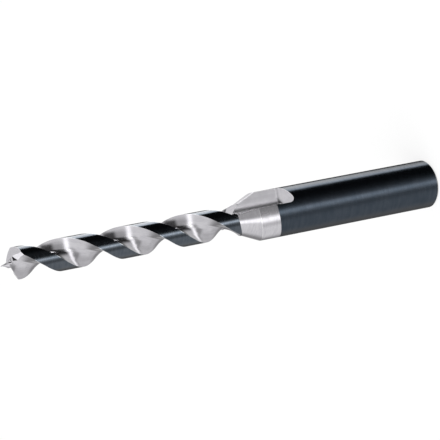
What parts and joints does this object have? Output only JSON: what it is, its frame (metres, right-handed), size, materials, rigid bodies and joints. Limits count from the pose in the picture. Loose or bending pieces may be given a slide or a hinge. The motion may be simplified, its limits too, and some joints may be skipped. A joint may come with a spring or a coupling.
{
  "type": "step drill bit",
  "caption": "Step drill bit: helical pilot with a centre spike, relief-ground step with a straight gash, and a plain round shank.",
  "frame": {"origin": "centre of the flat end of the shank", "axes": "+Z along the drill's axis towards the tip; +Y lies near one lip and +X points out of the side that the flute of that lip opens to"},
  "size_m": [0.01, 0.01, 0.1],
  "materials": {
    "steel": "high-speed steel, black oxide on the lands and shank, bright ground in the flutes, gashes and point and on the step"
  },
  "bodies": {
    "root": {"step_drill": "steel"}
  },
  "joints": []
}
